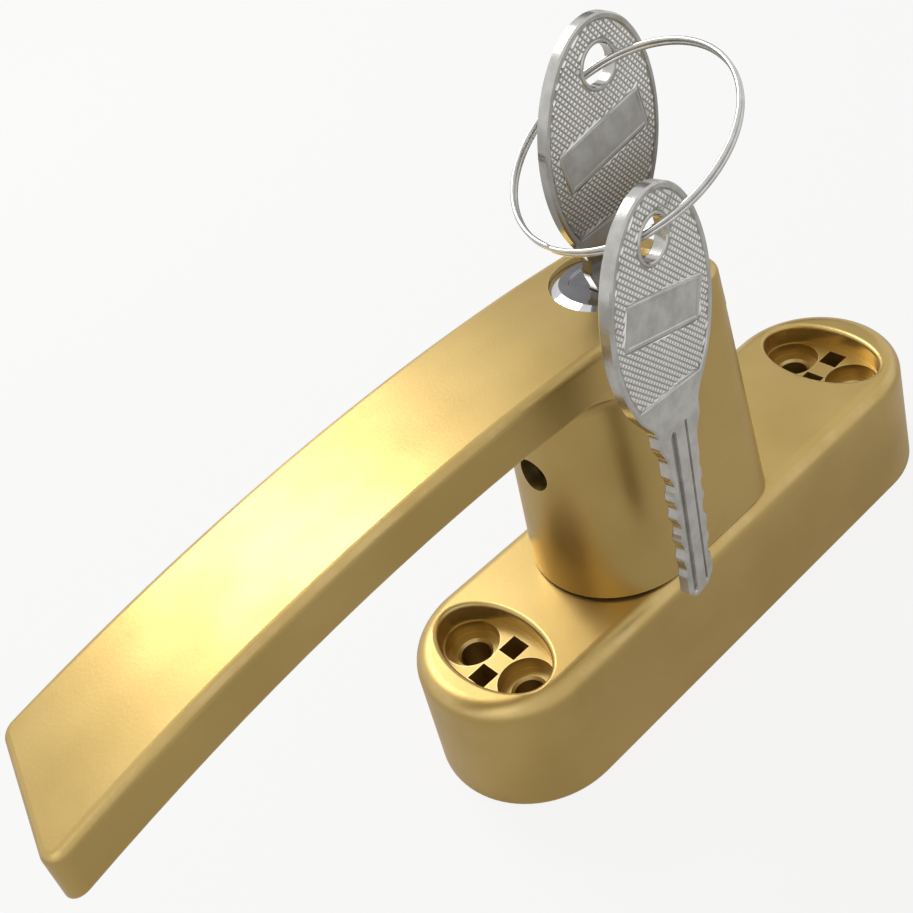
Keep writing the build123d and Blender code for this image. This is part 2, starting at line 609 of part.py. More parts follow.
def lock_barrel():
    """Chromed barrel with a bevelled face ring and a groove on each side for the wafers."""
    body = rod(BARREL_RADIUS, BARREL_BOTTOM, -1.2)
    body += rod(FACE_RADIUS, -1.6, -0.9) + Pos(0, 0, -0.6) * Cone(FACE_RADIUS, FACE_RADIUS - 1.3, 0.6)
    body -= rod(PLUG_RADIUS + FIT, BARREL_BOTTOM - 1, 1) + rod(PLUG_HEAD_RADIUS + FIT, -1.6, 1)
    for side in (-1, 1):
        body -= Pos(side * 5.3, 0, -12) * Box(2.0, 5.6, 18)
    return LOCK_SEAT * body


def keyway(low, high, fit):
    return block(-BLADE_WIDTH / 2 - fit, BLADE_WIDTH / 2 + fit, -BLADE_THICKNESS / 2 - fit,
                 BLADE_THICKNESS / 2 + fit, low, high)


def lock_plug():
    """Plug with the keyway, a slot for each wafer and a square tail."""
    body = rod(PLUG_RADIUS, PLUG_BOTTOM, -0.8) + rod(PLUG_HEAD_RADIUS, -1.6 + FIT, -0.5)
    body += Pos(0, 0, (TAIL_BOTTOM + PLUG_BOTTOM) / 2) * Box(
        TAIL_WIDTH - 0.04, TAIL_WIDTH - 0.04, PLUG_BOTTOM - TAIL_BOTTOM)
    body -= keyway(-BLADE_LENGTH - 0.4, 1, 0.12)
    for depth in WAFER_DEPTHS:
        body -= Pos(0, 0, depth) * Box(WAFER_LENGTH + 0.1, WAFER_WIDTH + 0.1, WAFER_THICKNESS + 0.1)
    body -= ring(PLUG_RADIUS + 1, PLUG_CLIP_INNER - FIT, PLUG_CLIP_BOTTOM - FIT, PLUG_CLIP_TOP + FIT)
    body -= rod(CAM_SCREW_RADIUS, TAIL_BOTTOM - 1, -25.2)
    return LOCK_SEAT * body


def wafer_tumblers():
    """Five brass wafers, drawn in by the key."""
    wafers = []
    for depth in WAFER_DEPTHS:
        plate = Box(WAFER_LENGTH, WAFER_WIDTH, WAFER_THICKNESS)
        wafer = Pos(0, 0, depth) * (plate - Box(WAFER_WINDOW_LENGTH, WAFER_WINDOW_WIDTH, 2))
        wafers.append((LOCK_SEAT * wafer).solid())
    return Compound(children=wafers)


def plug_circlip():
    return LOCK_SEAT * open_clip(PLUG_CLIP_RADIUS, PLUG_CLIP_INNER, PLUG_CLIP_BOTTOM, PLUG_CLIP_TOP)


def cam_screw():
    head_bottom = TAIL_BOTTOM - CAM_SCREW_HEAD_HEIGHT
    screw = rod(CAM_SCREW_RADIUS, TAIL_BOTTOM - 0.5, -25.6)
    screw += rod(CAM_SCREW_HEAD_RADIUS, head_bottom, TAIL_BOTTOM)
    return LOCK_SEAT * (screw - Pos(0, 0, head_bottom) * Box(DRIVER_SLOT_WIDTH, 6, 1.0))


def bitting(side):
    """Wavy cuts along one edge of the blade."""
    cut = None
    edge = side * BLADE_WIDTH / 2
    for index, depth in enumerate(CUT_DEPTHS[::side]):
        x = edge + side * (CUT_RADIUS - depth)
        notch = Pos(x, 0, -FIRST_CUT - CUT_PITCH * index) * Rot(90, 0, 0) * Cylinder(CUT_RADIUS, 6)
        cut = notch if cut is None else cut + notch
    return cut


def key():
    """Flat key: rimmed oval bow with a label plate, neck, and a blade with two grooves a side."""
    bow_z = BOW_BOTTOM + BOW_HEIGHT / 2
    turned = Pos(0, 0, bow_z) * Rot(90, 0, 0)
    bow = turned * extrude(Ellipse(BOW_WIDTH / 2, BOW_HEIGHT / 2), BOW_THICKNESS / 2, both=True)
    bow += block(-NECK_WIDTH / 2, NECK_WIDTH / 2, -BLADE_THICKNESS / 2, BLADE_THICKNESS / 2, 0.2, 8.0)
    inner = Ellipse(BOW_WIDTH / 2 - BOW_RIM, BOW_HEIGHT / 2 - BOW_RIM)
    for side in (-1, 1):
        label = Pos(0, side * 0.3) * Rot(0, 0, -side * LABEL_SLANT) * Rectangle(LABEL_LENGTH, LABEL_HEIGHT)
        pocket = extrude(inner - label, 1)
        bow -= Pos(0, side * (BOW_THICKNESS / 2 - 0.2), bow_z) * Rot(-90 * side, 0, 0) * pocket
    tip_z = -BLADE_LENGTH + BLADE_TIP_LENGTH
    body = bow + keyway(tip_z, 4, 0)
    tip = make_face(Polyline((-BLADE_WIDTH / 2, tip_z), (BLADE_WIDTH / 2, tip_z),
                             (BLADE_TIP_HALF_WIDTH, -BLADE_LENGTH), (-BLADE_TIP_HALF_WIDTH, -BLADE_LENGTH),
                             close=True))
    body += extrude(Plane.XZ * tip, BLADE_THICKNESS / 2, both=True)
    for side in (-1, 1):
        body -= bitting(side)
        y = side * BLADE_THICKNESS / 2
        for place, half in (WIDE_GROOVE, NARROW_GROOVE):
            body -= Pos(place, y, 0.8 - BLADE_LENGTH / 2) * Box(
                2 * half, 2 * BLADE_GROOVE_DEPTH, BLADE_LENGTH + 3.6)
    body -= Pos(0, 0, KEY_HOLE_Z) * Rot(90, 0, 0) * Cylinder(KEY_HOLE_RADIUS, 6)
    return body


def service_key():
    return LOCK_SEAT * key()


def ring_points():
    """Where the ring lies in the hole of the key in the lock, and where the spare key hangs from it."""
    upper = (LOCK_SEAT * Pos(0, 0, KEY_HOLE_Z)).position + Vector(*RING_IN_UPPER_HOLE)
    lower = Vector(*SPARE_HOLE) + Vector(*RING_IN_LOWER_HOLE)
    return upper, lower


def key_ring():
    """Round wire ring through both keys, passing round the edge of the upper bow."""
    upper, lower = ring_points()
    across = (lower - upper).normalized()
    normal = across.cross(Vector(*RING_WRAP)).normalized()
    plane = Plane(origin=(upper + lower) / 2, x_dir=across, z_dir=normal)
    return plane.location * Torus((lower - upper).length / 2, RING_WIRE_RADIUS)


def spare_key():
    """The same key, hanging from the ring beside the hub with its other face to the front."""
    hung = Pos(*SPARE_HOLE) * Rot(0, 0, SPARE_YAW) * Rot(0, SPARE_LEAN, 0) * Rot(0, 0, 180)
    return hung * Pos(0, 0, -KEY_HOLE_Z) * key()


def right_rack():
    return Rot(0, 0, 180) * drive_rack()


NODES = {
    "base_housing": base_housing,
    "back_plate": back_plate,
    "back_plate_screws": plate_screws,
    "neck_bush": neck_bush,
    "index_plate": index_plate,
    "index_plate_screws": index_screws,
    "lever_and_hub": lever_casting,
    "hub_circlip": hub_circlip,
    "thrust_washer": thrust_washer,
    "drive_spindle": drive_spindle,
    "drive_pinion": drive_pinion,
    "pinion_screw": pinion_screw,
    "left_drive_rack": drive_rack,
    "right_drive_rack": right_rack,
    "detent_ball": detent_ball,
    "detent_spring": detent_spring,
    "barrel_set_screw": barrel_set_screw,
    "lock_barrel": lock_barrel,
    "lock_plug": lock_plug,
    "wafer_tumblers": wafer_tumblers,
    "plug_circlip": plug_circlip,
    "lock_cam": lock_cam,
    "cam_screw": cam_screw,
    "lock_bolt": lock_bolt,
    "bolt_spring": bolt_spring,
    "bolt_bush": bolt_bush,
    "key_in_lock": service_key,
    "key_ring": key_ring,
    "spare_key": spare_key,
}

os.makedirs("parts", exist_ok=True)
for name, build in NODES.items():
    export_step(build(), f"parts/{name}.step")
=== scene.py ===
import math

import bmesh
import bpy
from mathutils import Matrix, Vector
from mathutils.geometry import delaunay_2d_cdt


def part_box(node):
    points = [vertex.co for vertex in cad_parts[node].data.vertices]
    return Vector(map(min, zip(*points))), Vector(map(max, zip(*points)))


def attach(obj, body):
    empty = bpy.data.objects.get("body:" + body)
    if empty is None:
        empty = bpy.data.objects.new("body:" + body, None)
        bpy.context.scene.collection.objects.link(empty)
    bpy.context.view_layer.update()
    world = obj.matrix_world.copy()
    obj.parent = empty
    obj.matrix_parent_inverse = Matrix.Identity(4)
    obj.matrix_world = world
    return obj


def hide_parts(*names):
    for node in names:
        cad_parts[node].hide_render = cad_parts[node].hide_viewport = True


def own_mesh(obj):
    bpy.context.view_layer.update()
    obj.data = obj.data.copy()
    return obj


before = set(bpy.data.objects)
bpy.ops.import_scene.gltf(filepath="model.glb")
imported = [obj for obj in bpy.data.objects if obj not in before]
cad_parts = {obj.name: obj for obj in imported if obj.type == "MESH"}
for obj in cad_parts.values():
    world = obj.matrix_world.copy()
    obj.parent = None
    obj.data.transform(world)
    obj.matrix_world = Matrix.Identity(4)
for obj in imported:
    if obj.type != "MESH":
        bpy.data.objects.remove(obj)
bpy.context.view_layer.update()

# Base housing: a zinc die-casting, long and round-ended, screwed flat to the window frame.
# It is sprayed a satin champagne gold, a little paler along its rims and edges, partly rubbed wear
# and partly a painted highlight. The recess at each end has two screw holes and two square holes for the
# clips of its cover, all open.

MM = 0.001
GOLD = (0.54, 0.385, 0.140, 1)
GOLD_DEEP = (0.48, 0.335, 0.114, 1)
# Paler gold for rubbed rims and edges, which also serves as a painted highlight along them.
GOLD_WEAR_AND_HIGHLIGHT = (0.68, 0.525, 0.26, 1)
CLOUDS = 45.0
HANDLED = 60.0
PATCHES = 170.0
SPECKS = 900.0
SPRAY_GRAIN = 2600.0


class Wire:
    """A shader socket. Sums on it add their Math nodes to the same material."""

    def __init__(self, tree, socket=None):
        self.tree = tree
        self.socket = socket

    def node(self, kind, settings=None, links=None, out=0):
        """Adds one node: its settings first, then the values or wires of its sockets."""
        made = self.tree.nodes.new(kind)
        for key, value in (settings or {}).items():
            setattr(made, key, value)
        for name, value in (links or {}).items():
            if isinstance(value, Wire):
                self.tree.links.new(value.socket, made.inputs[name])
            else:
                made.inputs[name].default_value = value
        return Wire(self.tree, made.outputs[out] if len(made.outputs) else None)

    def maths(self, operation, first, second):
        return self.node("ShaderNodeMath", {"operation": operation}, {0: first, 1: second})

    def __add__(self, other):
        return self.maths("ADD", self, other)

    def __mul__(self, other):
        return self.maths("MULTIPLY", self, other)

    def __sub__(self, other):
        return self.maths("SUBTRACT", self, other)

    def __rsub__(self, other):
        return self.maths("SUBTRACT", other, self)

    __radd__ = __add__
    __rmul__ = __mul__

    def over(self, low, high):
        """Runs from 0 where this value is low to 1 where it is high, and no further."""
        return self.node("ShaderNodeMapRange", {"interpolation_type": "SMOOTHSTEP"},
                         {"Value": self, "From Min": low, "From Max": high})

    def place(self):
        """Places on the piece, in metres."""
        return self.node("ShaderNodeTexCoord", out="Object")

    def facing(self):
        """The way the surface faces, in the piece's own directions."""
        return self.node("ShaderNodeTexCoord", out="Normal")

    def along(self, axis):
        """This vector's share along X, Y or Z."""
        return self.node("ShaderNodeSeparateXYZ", None, {"Vector": self}, out=axis)

    def noise(self, scale, detail=2.0, rough=0.5, stretch=None):
        """Soft random spots, scale of them to a metre, from 0 to 1."""
        where = self.place()
        if stretch:
            where = self.node("ShaderNodeMapping", None, {"Vector": where, "Scale": stretch})
        return self.node("ShaderNodeTexNoise", None,
                         {"Vector": where, "Scale": scale, "Detail": detail, "Roughness": rough})

    def edges(self, width):
        """1 along sharp edges and 0 on faces, from how far rounding them would turn the surface."""
        rounded = self.node("ShaderNodeBevel", {"samples": 6}, {"Radius": width})
        true = self.node("ShaderNodeNewGeometry", out="Normal")
        match = self.node("ShaderNodeVectorMath", {"operation": "DOT_PRODUCT"},
                          {0: rounded, 1: true}, out="Value")
        return (1 - match).over(0.01, 0.16)

    def mixed(self, low, high):
        """A colour from low to high, by this value."""
        return self.node("ShaderNodeMix", {"data_type": "RGBA"}, {0: self, 6: low, 7: high}, out=2)

    def bump(self, strength, depth):
        """A surface normal with this value as its relief, depth metres high."""
        return self.node("ShaderNodeBump", None, {"Height": self, "Strength": strength, "Distance": depth})


def finish_of(name, look):
    """A material from a function that gives the value or wire of each socket that it sets."""
    material = bpy.data.materials.new(name)
    material.use_nodes = True
    tree = material.node_tree
    shader = tree.nodes["Principled BSDF"]
    for socket, value in look(Wire(tree)).items():
        if isinstance(value, Wire):
            tree.links.new(value.socket, shader.inputs[socket])
        else:
            shader.inputs[socket].default_value = value
    return material


def sprayed_gold(start):
    """Champagne gold in soft clouds, paler and smoother along rims and edges where hands and cloths rub
    it, which there is also a painted highlight.
    """
    clouds = start.noise(CLOUDS, 3.0).over(0.35, 0.7)
    upward = start.facing().along("Z")
    rims = upward.over(0.30, 0.62) * (1 - upward.over(0.84, 0.96))
    patches = start.noise(PATCHES, 4.0, 0.6).over(0.35, 0.68)
    specks = start.noise(SPECKS, 4.0, 0.65).over(0.62, 0.80)
    # Paler along the rounded rims, sharp edges and in specks: rubbed wear, and a painted highlight on the
    # rims and edges.
    wear_and_highlight = (rims * 0.45 + start.edges(0.5 * MM) * 0.9) * (0.35 + patches * 0.65) + specks * 0.25
    handled = start.noise(HANDLED, 4.0, 0.6).over(0.3, 0.75)
    return {"Base Color": wear_and_highlight.over(0.0, 1.0).mixed(clouds.mixed(GOLD, GOLD_DEEP), GOLD_WEAR_AND_HIGHLIGHT),
            "Roughness": 0.30 + handled * 0.10 + start.noise(SPRAY_GRAIN) * 0.06 - wear_and_highlight * 0.05,
            "Normal": start.noise(SPRAY_GRAIN, 3.0, 0.6).bump(0.22, 0.05 * MM),
            "Metallic": 0.92}


def dress(material, *nodes):
    """Gives CAD pieces their finish."""
    for node in nodes:
        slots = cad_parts[node].data.materials
        slots.clear()
        slots.append(material)


gold = finish_of("satin_gold", sprayed_gold)
dress(gold, "base_housing")

# Lever and hub: one zinc casting in the same sprayed gold, curved like a shallow bow.
# The hub's foot turns on the base with a thin dark gap, and its neck goes through the roof.

dress(gold, "lever_and_hub")

# Back plate, screws, spindle and cam: mild steel, blanked or turned, then zinc plated.
# The plating is cloudy grey-blue, and brighter where an edge has been rubbed.


def metal(name, pale, dark, low, high, scale, stretch=None, wear=0.25):
    """A used metal in two tones and a range of roughness, polished along edges wear mm wide."""
    def look(start):
        spots = start.noise(scale, 4.0, 0.6, stretch)
        rubbed = start.edges(wear * MM)
        shine = tuple(min(1.0, part * 1.25) for part in pale[:3]) + (1,)
        haze = start.noise(scale * 3, 3.0, 0.6, stretch)
        return {"Base Color": rubbed.mixed(spots.over(0.3, 0.7).mixed(pale, dark), shine),
                "Roughness": low + haze * (high - low) - rubbed * low * 0.4,
                "Normal": start.noise(scale * 5, 2.0, 0.5, stretch).bump(0.15, 0.04 * MM),
                "Metallic": 1.0}
    return finish_of(name, look)


zinc = metal("zinc_plate", (0.60, 0.62, 0.64, 1), (0.48, 0.51, 0.55, 1), 0.28, 0.45, 260.0)
dress(zinc, "back_plate", "back_plate_screws", "index_plate_screws", "pinion_screw", "drive_spindle",
      "lock_cam", "cam_screw")

# Index plate, detent ball and lock bolt: hardened steel, ground bright.
# The plate is screwed under the roof of the base, and takes the bolt's end in its holes.

ground_steel = metal("ground_steel", (0.50, 0.50, 0.51, 1), (0.36, 0.36, 0.38, 1), 0.22, 0.38, 400.0,
                     stretch=(1, 8, 1))
dress(ground_steel, "index_plate", "detent_ball", "lock_bolt")

# Pinion and racks: pressed and sintered from iron powder, dark with oil.
# The pinion turns with the spindle and pushes the two racks opposite ways.

sintered = metal("sintered_iron", (0.30, 0.30, 0.31, 1), (0.18, 0.18, 0.19, 1), 0.45, 0.65, 1500.0)
dress(sintered, "drive_pinion", "left_drive_rack", "right_drive_rack")

# Clips and springs: hard steel strip and wire, oiled and left dark. The clips snap into the
# grooves of the neck and the plug. Both springs are wound, with their end turns closed.

SPRING_SIDES = 10
STEPS_A_TURN = 24
WIRE_END = 0.7
DETENT_WIRE = 0.20 * MM
BOLT_WIRE = 0.18 * MM

spring_steel = metal("spring_steel", (0.40, 0.41, 0.43, 1), (0.24, 0.25, 0.27, 1), 0.25, 0.40, 700.0,
                     wear=0.1)
dress(spring_steel, "hub_circlip", "plug_circlip")


def tube(name, path, radius, sides):
    """A round wire along a list of points, with its ends closed and slightly drawn in."""
    work = bmesh.new()
    loops = []
    side = None
    for index, point in enumerate(path):
        along = (path[min(index + 1, len(path) - 1)] - path[max(index - 1, 0)]).normalized()
        if side is None:
            side = along.orthogonal().normalized()
        else:
            side = (side - along * side.dot(along)).normalized()
        other = along.cross(side)
        reach = radius * (WIRE_END if index in (0, len(path) - 1) else 1.0)
        turns = [2 * math.pi * step / sides for step in range(sides)]
        loops.append([work.verts.new(point + (side * math.cos(a) + other * math.sin(a)) * reach)
                      for a in turns])
    for one, two in zip(loops, loops[1:]):
        for i in range(sides):
            work.faces.new((one[i], one[(i + 1) % sides], two[(i + 1) % sides], two[i]))
    work.faces.new(loops[0][::-1])
    work.faces.new(loops[-1])
    mesh = bpy.data.meshes.new(name)
    work.to_mesh(mesh)
    work.free()
    mesh.polygons.foreach_set("use_smooth", [True] * len(mesh.polygons))
    mesh.set_sharp_from_angle(angle=math.radians(50))
    return mesh


def wound_spring(name, node, wire, turns):
    """A compression spring in the space of its CAD node, riding on the hub."""
    low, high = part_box(node)
    middle = (low + high) / 2
    radius = (high.x - low.x) / 2 - wire
    closed = 2 * wire
    open_rise = high.z - low.z - 2 * wire - 2 * closed
    path = []
    for step in range(turns * STEPS_A_TURN + 1):
        turn = step / STEPS_A_TURN
        share = min(1.0, max(0.0, (turn - 1) / (turns - 2)))
        rise = closed * min(turn, 1.0) + open_rise * share + closed * max(0.0, turn - turns + 1)
        angle = 2 * math.pi * turn
        path.append(Vector((middle.x + radius * math.cos(angle), middle.y + radius * math.sin(angle),
                            low.z + wire + rise)))
    spring = bpy.data.objects.new(name, tube(name, path, wire, SPRING_SIDES))
    spring.data.materials.append(spring_steel)
    bpy.context.scene.collection.objects.link(spring)
    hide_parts(node)
    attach(spring, "handle")
    return spring


wound_spring("detent_coil", "detent_spring", DETENT_WIRE, 9)

bolt_coil = wound_spring("bolt_coil", "bolt_spring", BOLT_WIRE, 8)
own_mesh(bolt_coil)

# Neck bush and thrust washer: turned from pale bearing plastic, slightly waxy.
# They keep the steel and the zinc from rubbing as the handle turns.


def bearing_plastic(start):
    """Pale waxy plastic, a little darker where its edges are scuffed."""
    scuffed = start.edges(0.2 * MM)
    tone = start.noise(220.0, 3.0).mixed((0.86, 0.84, 0.78, 1), (0.78, 0.75, 0.68, 1))
    return {"Base Color": (scuffed * 0.6).mixed(tone, (0.70, 0.66, 0.58, 1)),
            "Roughness": 0.42 + start.noise(900.0) * 0.15 + scuffed * 0.1,
            "Normal": start.noise(3000.0).bump(0.1, 0.03 * MM),
            "Metallic": 0.0}


dress(finish_of("bearing_plastic", bearing_plastic), "neck_bush", "thrust_washer")

# Lock barrel and plug: turned brass, chrome plated, with a bevelled ring round the keyway.
# The barrel is pushed down into the hub, and the plug turns in it with the key.

CHROME = (0.60, 0.60, 0.62, 1)
CHROME_HAZY = (0.50, 0.50, 0.53, 1)
CHROME_RUBBED = (0.72, 0.71, 0.70, 1)


def polished_chrome(start):
    """Bright plating with a faint haze and fine wiping marks, rubbed along the ring's edges."""
    haze = start.noise(300.0, 3.0).over(0.4, 0.7)
    wiped = start.noise(1400.0, 5.0, 0.7).over(0.5, 0.8)
    rubbed = start.edges(0.2 * MM)
    return {"Base Color": (rubbed * 0.7).mixed(haze.mixed(CHROME, CHROME_HAZY), CHROME_RUBBED),
            "Roughness": 0.06 + wiped * 0.12 + rubbed * 0.08,
            "Normal": start.noise(450.0, 2.0).bump(0.16, 0.08 * MM),
            "Metallic": 1.0}


dress(finish_of("polished_chrome", polished_chrome), "lock_barrel", "lock_plug")

# Wafers and bolt bush: brass, blanked and turned.
# The wafers slide in the plug's slots, and the bush is pressed into the foot of the hub.

brass = metal("turned_brass", (0.80, 0.62, 0.30, 1), (0.66, 0.47, 0.20, 1), 0.22, 0.38, 500.0, (1, 1, 10))
dress(brass, "wafer_tumblers", "bolt_bush")

# Barrel set screw: a short socket screw of blackened steel in the round front of the hub.
# Its point holds the barrel down.

black_steel = metal("blackened_steel", (0.06, 0.06, 0.065, 1), (0.03, 0.03, 0.033, 1), 0.35, 0.55, 800.0)
dress(black_steel, "barrel_set_screw")

# Keys: two alike, stamped from steel strip and nickel plated. Each face has a plain rim,
# a fine diagonal knurl and a bare slanted panel, and the blade has shallow wavy cuts on both
# edges and two grooves milled along it. One is in the lock, the other hangs from the ring.

KEY_HALF_THICK = 0.85
BOW_HALF_WIDTH = 9.8
BOW_HALF_HEIGHT = 15.0
BOW_MIDDLE = 19.2
EYE_HEIGHT = 28.2
EYE_RADIUS = 2.5
EYE_SIDES = 40
NECK_HALF = 4.2
NECK_SPAN = (-0.5, 2.5)
NECK_BLEND = 2.4
BLEND_STARTS = (1, 3)
BLEND_ENDS = 6
BLADE_HALF = 3.2
BLADE_TAPER = 0.4
TAPER_LENGTH = 22
BLADE_END = -24.4
BLADE_TIP = 1.6
TIP_HALF = 1.3
CUT_DEPTHS = (0.5, 0.3, 0.6, 0.4, 0.25)
CUT_RADIUS = 2.2
FIRST_CUT = 4.6
CUT_PITCH = 3.5
EDGE_STEP = 0.36
SHOULDER = 13.0
BOW_STEPS = 44
ROUNDED = 0.22
RIM_WIDTH = 0.65
EYE_RIM = 0.38
KNURL_DEPTH = 0.18
KNURL_PITCH = 0.62
KNURL_FOOT = 8.4
KNURL_FOOT_SLANT = 0.16
KNURL_REACH = 90
KNURL_TOP = -0.02
FIELD_STEPS = 120
PANEL_LENGTH = 14.6
PANEL_HEIGHT = 5.4
PANEL_DROP = 0.3
PANEL_SLANT = math.radians(17)
PANEL_FLOOR = -0.10
GROOVES = ((1.6, 0.6), (-1.1, 0.25))
GROOVE_DEPTH = 0.42
GROOVE_FOOT = BLADE_END + 0.9
GROOVE_HEAD = 3.4
GROOVE_WALL = 0.15


def smooth(value, low, high):
    """Eases a number from 0 at low to 1 at high."""
    share = min(1.0, max(0.0, (value - low) / (high - low)))
    return share * share * (3 - 2 * share)


def key_half_width(z, edge):
    """Half width of the blade, neck and lower bow at a height, on one edge."""
    width = BLADE_HALF - BLADE_TAPER * smooth(-z, 0, TAPER_LENGTH)
    width += (NECK_HALF - BLADE_HALF) * smooth(z, *NECK_SPAN)
    for index, depth in enumerate(CUT_DEPTHS[::edge]):
        away = z + FIRST_CUT + CUT_PITCH * index
        if abs(away) < CUT_RADIUS:
            width -= max(0.0, (CUT_RADIUS**2 - away**2) ** 0.5 - CUT_RADIUS + depth)
    bow = BOW_HALF_WIDTH * max(0.0, 1 - ((z - BOW_MIDDLE) / BOW_HALF_HEIGHT) ** 2) ** 0.5
    blended = (width + bow + ((width - bow) ** 2 + NECK_BLEND) ** 0.5) / 2
    if z < BLEND_STARTS[1]:
        return width + (blended - width) * smooth(z, *BLEND_STARTS)
    return bow + (blended - bow) * (1 - smooth(z, BLEND_ENDS, SHOULDER))


def key_edge(edge):
    """One edge of the key from its tip to the top of the bow."""
    start = BLADE_END + BLADE_TIP
    heights = [start + EDGE_STEP * step for step in range(int((SHOULDER - start) / EDGE_STEP))]
    points = [(edge * TIP_HALF, BLADE_END)] + [(edge * key_half_width(z, edge), z) for z in heights]
    first = math.asin((SHOULDER + 0.2 - BOW_MIDDLE) / BOW_HALF_HEIGHT)
    for step in range(BOW_STEPS):
        angle = first + (math.pi / 2 - first) * step / BOW_STEPS
        points.append((edge * BOW_HALF_WIDTH * math.cos(angle),
                       BOW_MIDDLE + BOW_HALF_HEIGHT * math.sin(angle)))
    return points


def inset(loop, distance):
    """A closed loop moved inwards. Loops run anticlockwise."""
    moved = []
    for index, (x, z) in enumerate(loop):
        before, after = Vector(loop[index - 1]), Vector(loop[(index + 1) % len(loop)])
        along = (after - before).normalized()
        moved.append((x - along.y * distance, z + along.x * distance))
    return moved


def eye_loop(margin):
    """The round eye for the ring, made wider by a margin."""
    turns = [2 * math.pi * i / EYE_SIDES for i in range(EYE_SIDES)]
    radius = EYE_RADIUS + margin
    return [(radius * math.cos(a), EYE_HEIGHT + radius * math.sin(a)) for a in turns]


def panel_loop(shrink):
    """Corners of the slanted panel, brought in by an even margin."""
    half_length, half_height = PANEL_LENGTH / 2 - shrink, PANEL_HEIGHT / 2 - shrink
    corners = [(-half_length, -half_height), (half_length, -half_height),
               (half_length, half_height), (-half_length, half_height)]
    cos, sin = math.cos(PANEL_SLANT), math.sin(PANEL_SLANT)
    return [(x * cos - z * sin, BOW_MIDDLE - PANEL_DROP + x * sin + z * cos) for x, z in corners]


def knurl_field(shrink):
    """Border of the knurled part: an oval cut off on the slant above the neck."""
    half_width = BOW_HALF_WIDTH - RIM_WIDTH - shrink
    half_height = BOW_HALF_HEIGHT - RIM_WIDTH - shrink
    loop = []
    for step in range(FIELD_STEPS):
        angle = 2 * math.pi * step / FIELD_STEPS
        x, z = half_width * math.cos(angle), BOW_MIDDLE + half_height * math.sin(angle)
        if z > KNURL_FOOT + KNURL_FOOT_SLANT * x + shrink:
            loop.append((x, z))
    return loop


def inside(loop, x, z):
    """True where a point is within a closed loop."""
    found = False
    for index, (x1, z1) in enumerate(loop):
        x0, z0 = loop[index - 1]
        if (z0 > z) != (z1 > z) and x < x0 + (z - z0) / (z1 - z0) * (x1 - x0):
            found = not found
    return found


def groove_loop(middle, half_width, low, high):
    """A milled groove's plan, drawn in to a point at its upper end."""
    return [(middle - half_width, low), (middle + half_width, low),
            (middle + half_width, high - half_width), (middle, high),
            (middle - half_width, high - half_width)]


def key_borders(outline):
    """The closed lines of a key's face, each with its height above the plain rim."""
    loops = [(outline, -ROUNDED), (inset(outline, ROUNDED), 0.0),
             (eye_loop(0.0), -0.16), (eye_loop(0.14), 0.0),
             (eye_loop(EYE_RIM), 0.0), (eye_loop(EYE_RIM + 0.14), -KNURL_DEPTH),
             (knurl_field(0.0), 0.0), (knurl_field(0.17), -KNURL_DEPTH),
             (panel_loop(0.0), -KNURL_DEPTH), (panel_loop(0.14), 0.0),
             (panel_loop(0.48), 0.0), (panel_loop(0.60), PANEL_FLOOR)]
    for middle, half_width in GROOVES:
        loops.append((groove_loop(middle, half_width, GROOVE_FOOT, GROOVE_HEAD), 0.0))
        loops.append((groove_loop(middle, half_width - GROOVE_WALL, GROOVE_FOOT + 0.2, GROOVE_HEAD - 0.5),
                      -GROOVE_DEPTH))
    return loops


def knurl_points():
    """The knurl's tops and valley crossings, by their place in a diagonal lattice. Tops are odd."""
    room, panel = knurl_field(0.22), panel_loop(-0.08)
    step = KNURL_PITCH / 2 / 2**0.5
    found = {}
    for i in range(-KNURL_REACH, KNURL_REACH + 1):
        for j in range(-KNURL_REACH + i % 2, KNURL_REACH + 1, 2):
            x, z = step * (i + j), BOW_MIDDLE + step * (i - j)
            by_eye = math.hypot(x, z - EYE_HEIGHT) < EYE_RADIUS + EYE_RIM + 0.2
            if inside(room, x, z) and not by_eye and not inside(panel, x, z):
                found[i, j] = (x, z)
    return found


def share_map(mesh, name, shares):
    """Stores a share from 0 to 1 at each corner point of the mesh, for its finish to read."""
    mesh.attributes.new(name, "FLOAT", "POINT").data.foreach_set("value", shares)


